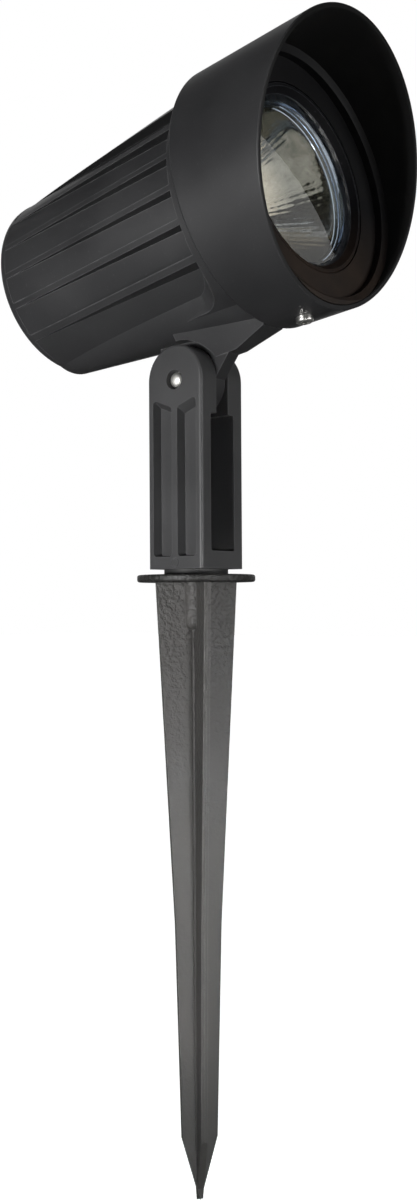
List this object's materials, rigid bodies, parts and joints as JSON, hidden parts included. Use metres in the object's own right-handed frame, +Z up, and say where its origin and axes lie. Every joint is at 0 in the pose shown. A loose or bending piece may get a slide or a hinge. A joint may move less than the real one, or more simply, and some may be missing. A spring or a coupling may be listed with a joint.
{
  "type": "garden spike spotlight",
  "caption": "Outdoor garden spotlight with a finned cylindrical lamp head and slanted glare hood, tilting on a slotted yoke bracket above a cross-bladed ground spike.",
  "frame": {"origin": "on the spike's axis at the underside of its flange, which is the ground line", "axes": "+Z up along the spike, the lamp shines towards -Y, +X along the tilt axis; the head is stored nose up by 9 degrees"},
  "size_m": [0.0848, 0.1411, 0.372],
  "materials": {
    "dark_coat": "satin charcoal powder coat",
    "bezel_coat": "semi-gloss charcoal coat with bright worn edge",
    "spike_coat": "matt grey coat over cast metal, fine casting pits",
    "stainless": "bright stainless steel",
    "friction_pad": "matt black hard plastic",
    "silicone": "soft matt black silicone",
    "clear_glass": "clear polished, bevelled edge",
    "reflector_metal": "bright metallised",
    "bare_aluminium": "machined",
    "white_mask": "white solder mask on metal core",
    "led_phosphor": "yellow phosphor under clear resin",
    "white_plastic": "moulded white plastic",
    "wire_cover": "insulated wire",
    "board_green": "printed circuit board",
    "ferrite": "ferrite core with taped winding",
    "capacitor_sleeve": "sleeved aluminium can",
    "black_plastic": "moulded black epoxy",
    "terminal_plastic": "moulded plastic",
    "gland_nylon": "black nylon"
  },
  "bodies": {
    "spike": {"spike": "spike_coat", "friction_disc": "friction_pad", "swivel_bolt": "stainless", "swivel_washer": "stainless", "swivel_spring_washer": "stainless"},
    "bracket": {"bracket": "dark_coat", "tilt_bolt": "stainless", "tilt_nut": "stainless", "tilt_washers": "stainless"},
    "head": {"housing": "dark_coat", "housing_seal": "silicone", "hood": "dark_coat", "hood_screw": "stainless", "front_ring": "dark_coat", "glass_gasket": "silicone", "front_glass": "clear_glass", "bezel_ring": "bezel_coat", "reflector": "reflector_metal", "heat_spreader": "bare_aluminium", "spreader_screws": "stainless", "led_board": "white_mask", "led_chips": "led_phosphor", "led_holder": "white_plastic", "holder_screws": "stainless", "led_leads": "wire_cover", "driver_board": "board_green", "driver_screws": "stainless", "driver_transformer": "ferrite", "driver_capacitors": "capacitor_sleeve", "driver_chips": "black_plastic", "terminal_block": "terminal_plastic", "terminal_screws": "stainless", "gland_gasket": "silicone", "gland_body": "gland_nylon", "gland_seal": "silicone", "gland_nut": "gland_nylon", "gland_locknut": "gland_nylon"}
  },
  "joints": [
    {"name": "swivel", "type": "hinge", "parent": "spike", "child": "bracket", "pos_m": [0, 0, 0.00425], "axis": [0, 0, 1], "continuous": true},
    {"name": "tilt", "type": "hinge", "parent": "bracket", "child": "head", "pos_m": [0, 0, 0.06525], "axis": [1, 0, 0], "range_deg": [-75, 60]}
  ]
}
